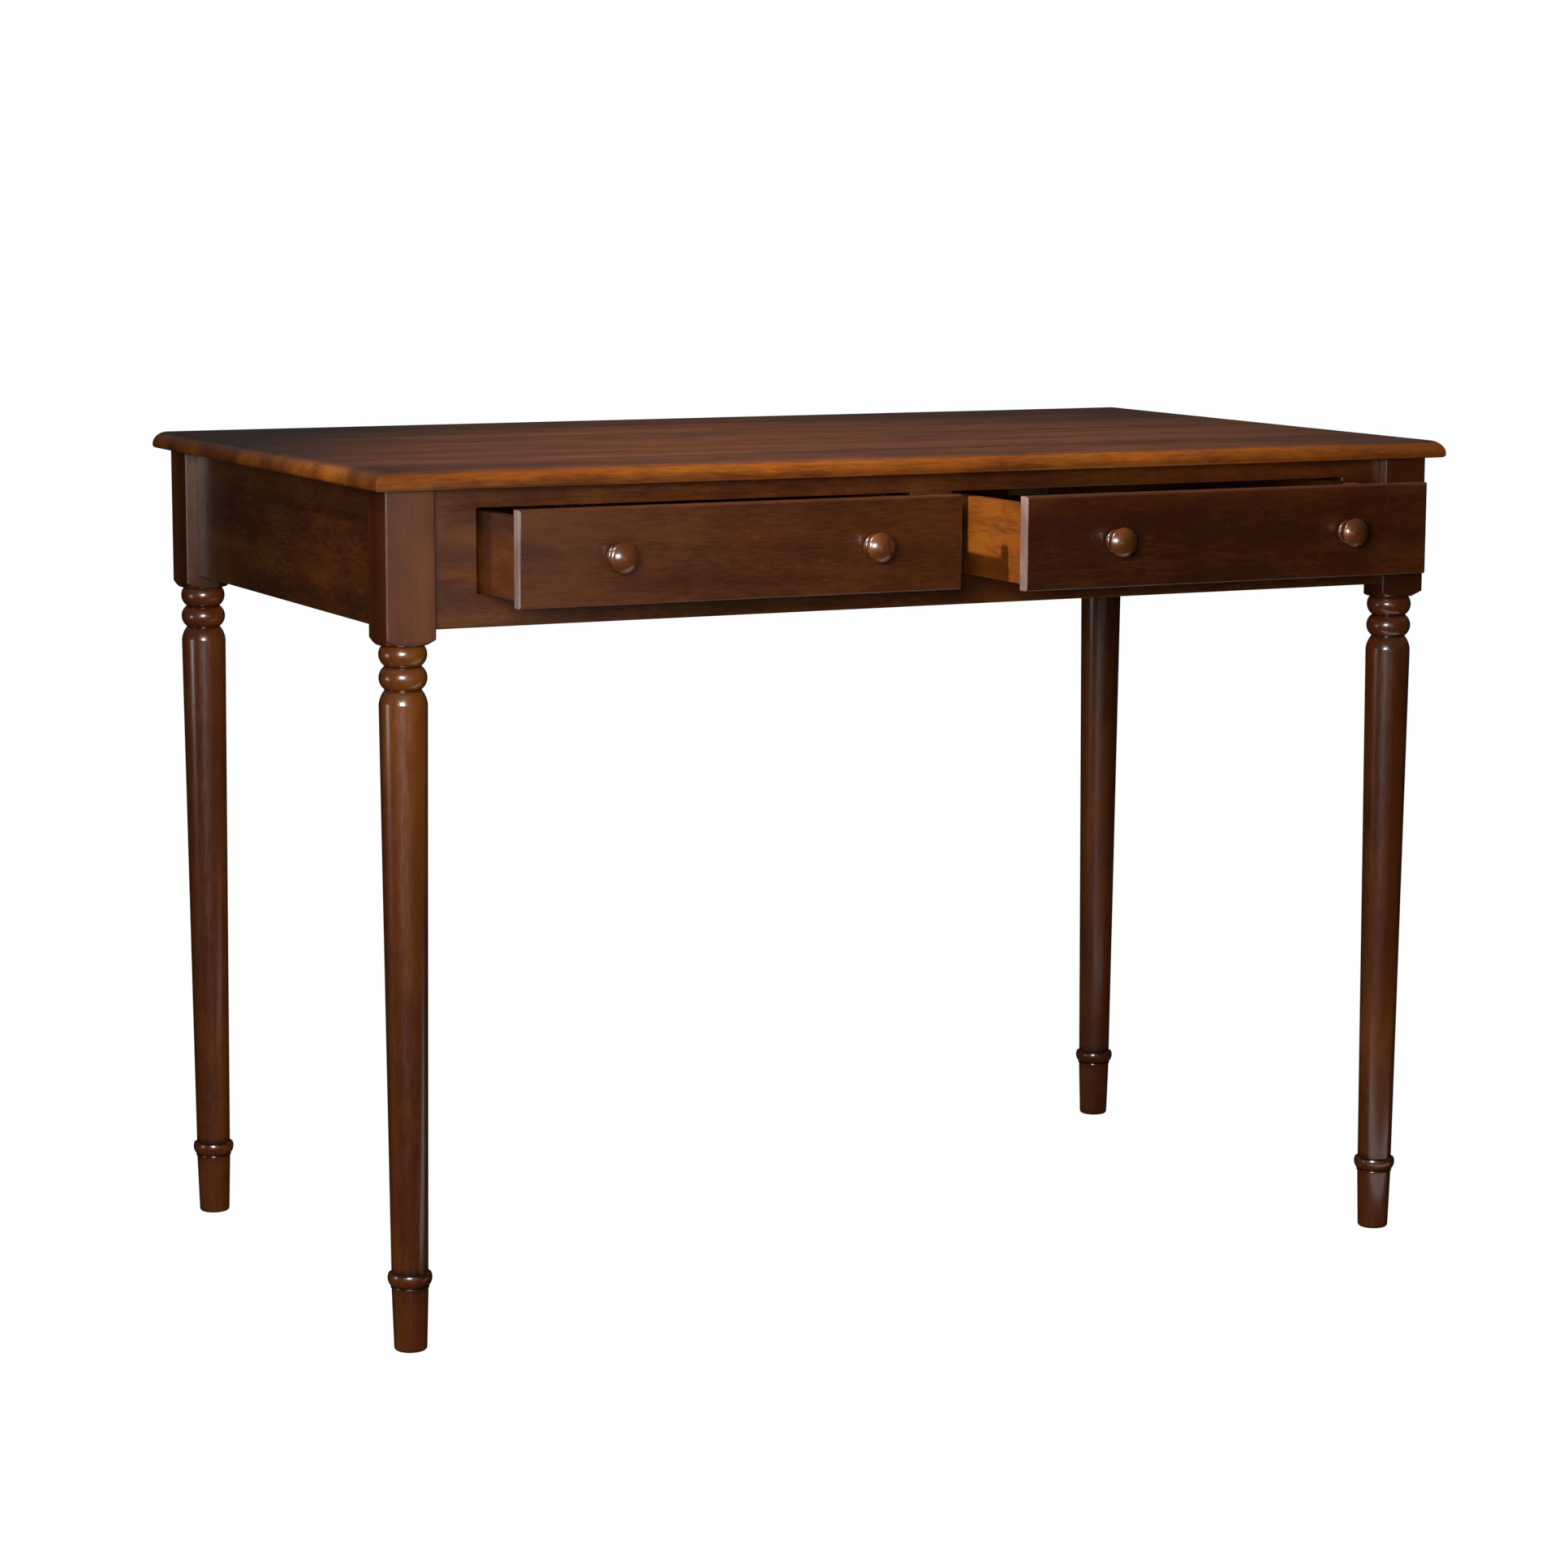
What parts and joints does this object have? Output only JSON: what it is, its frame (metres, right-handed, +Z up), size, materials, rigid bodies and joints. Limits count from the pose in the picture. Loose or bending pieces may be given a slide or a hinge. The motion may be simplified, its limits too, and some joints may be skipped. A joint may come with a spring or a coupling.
{
  "type": "kneehole desk",
  "caption": "Dark stained wooden writing desk with a moulded top, turned tapered legs, an open kneehole and shallow apron drawers with round knobs.",
  "frame": {"origin": "on the floor, under the middle of the object's bounding box with the drawers as stored", "axes": "+X to the sitter's right along the desk, +Y to the back, +Z up"},
  "size_m": [1.067, 0.746, 0.762],
  "materials": {
    "desktop_wood": "satin dark stain",
    "leg_wood": "satin dark stain",
    "apron_wood": "satin dark stain",
    "drawer_front_wood": "satin dark stain",
    "knob_wood": "satin dark stain",
    "drawer_side_wood": "satin orange-brown lacquer",
    "drawer_plywood": "thin clear lacquer",
    "bare_wood": "bare",
    "steel": "zinc plated"
  },
  "bodies": {
    "frame": {"back_apron": "apron_wood", "centre_kicker": "bare_wood", "centre_runner": "bare_wood", "corner_block_back_left": "bare_wood", "corner_block_back_right": "bare_wood", "corner_block_front_left": "bare_wood", "corner_block_front_right": "bare_wood", "desktop": "desktop_wood", "front_apron": "apron_wood", "left_apron": "apron_wood", "left_kicker": "bare_wood", "left_runner": "bare_wood", "leg_back_left": "leg_wood", "leg_back_right": "leg_wood", "leg_bolts": "steel", "leg_front_left": "leg_wood", "leg_front_right": "leg_wood", "leg_nuts": "steel", "leg_washers": "steel", "right_apron": "apron_wood", "right_kicker": "bare_wood", "right_runner": "bare_wood", "runner_dowels": "bare_wood", "top_screws": "steel"},
    "left_drawer": {"left_drawer_back": "drawer_side_wood", "left_drawer_bottom": "drawer_plywood", "left_drawer_dowels": "bare_wood", "left_drawer_front": "drawer_front_wood", "left_drawer_knob_screws": "steel", "left_drawer_left_knob": "knob_wood", "left_drawer_left_side": "drawer_side_wood", "left_drawer_right_knob": "knob_wood", "left_drawer_right_side": "drawer_side_wood", "left_drawer_stop": "bare_wood", "left_drawer_stop_screws": "steel"},
    "right_drawer": {"right_drawer_back": "drawer_side_wood", "right_drawer_bottom": "drawer_plywood", "right_drawer_dowels": "bare_wood", "right_drawer_front": "drawer_front_wood", "right_drawer_knob_screws": "steel", "right_drawer_left_knob": "knob_wood", "right_drawer_left_side": "drawer_side_wood", "right_drawer_right_knob": "knob_wood", "right_drawer_right_side": "drawer_side_wood", "right_drawer_stop": "bare_wood", "right_drawer_stop_screws": "steel"}
  },
  "joints": [
    {"name": "left_drawer_slide", "type": "slide", "parent": "frame", "child": "left_drawer", "axis": [0, -1, 0], "range_m": [-0.0837, 0.2537]},
    {"name": "right_drawer_slide", "type": "slide", "parent": "frame", "child": "right_drawer", "axis": [0, -1, 0], "range_m": [-0.1257, 0.2117]}
  ]
}
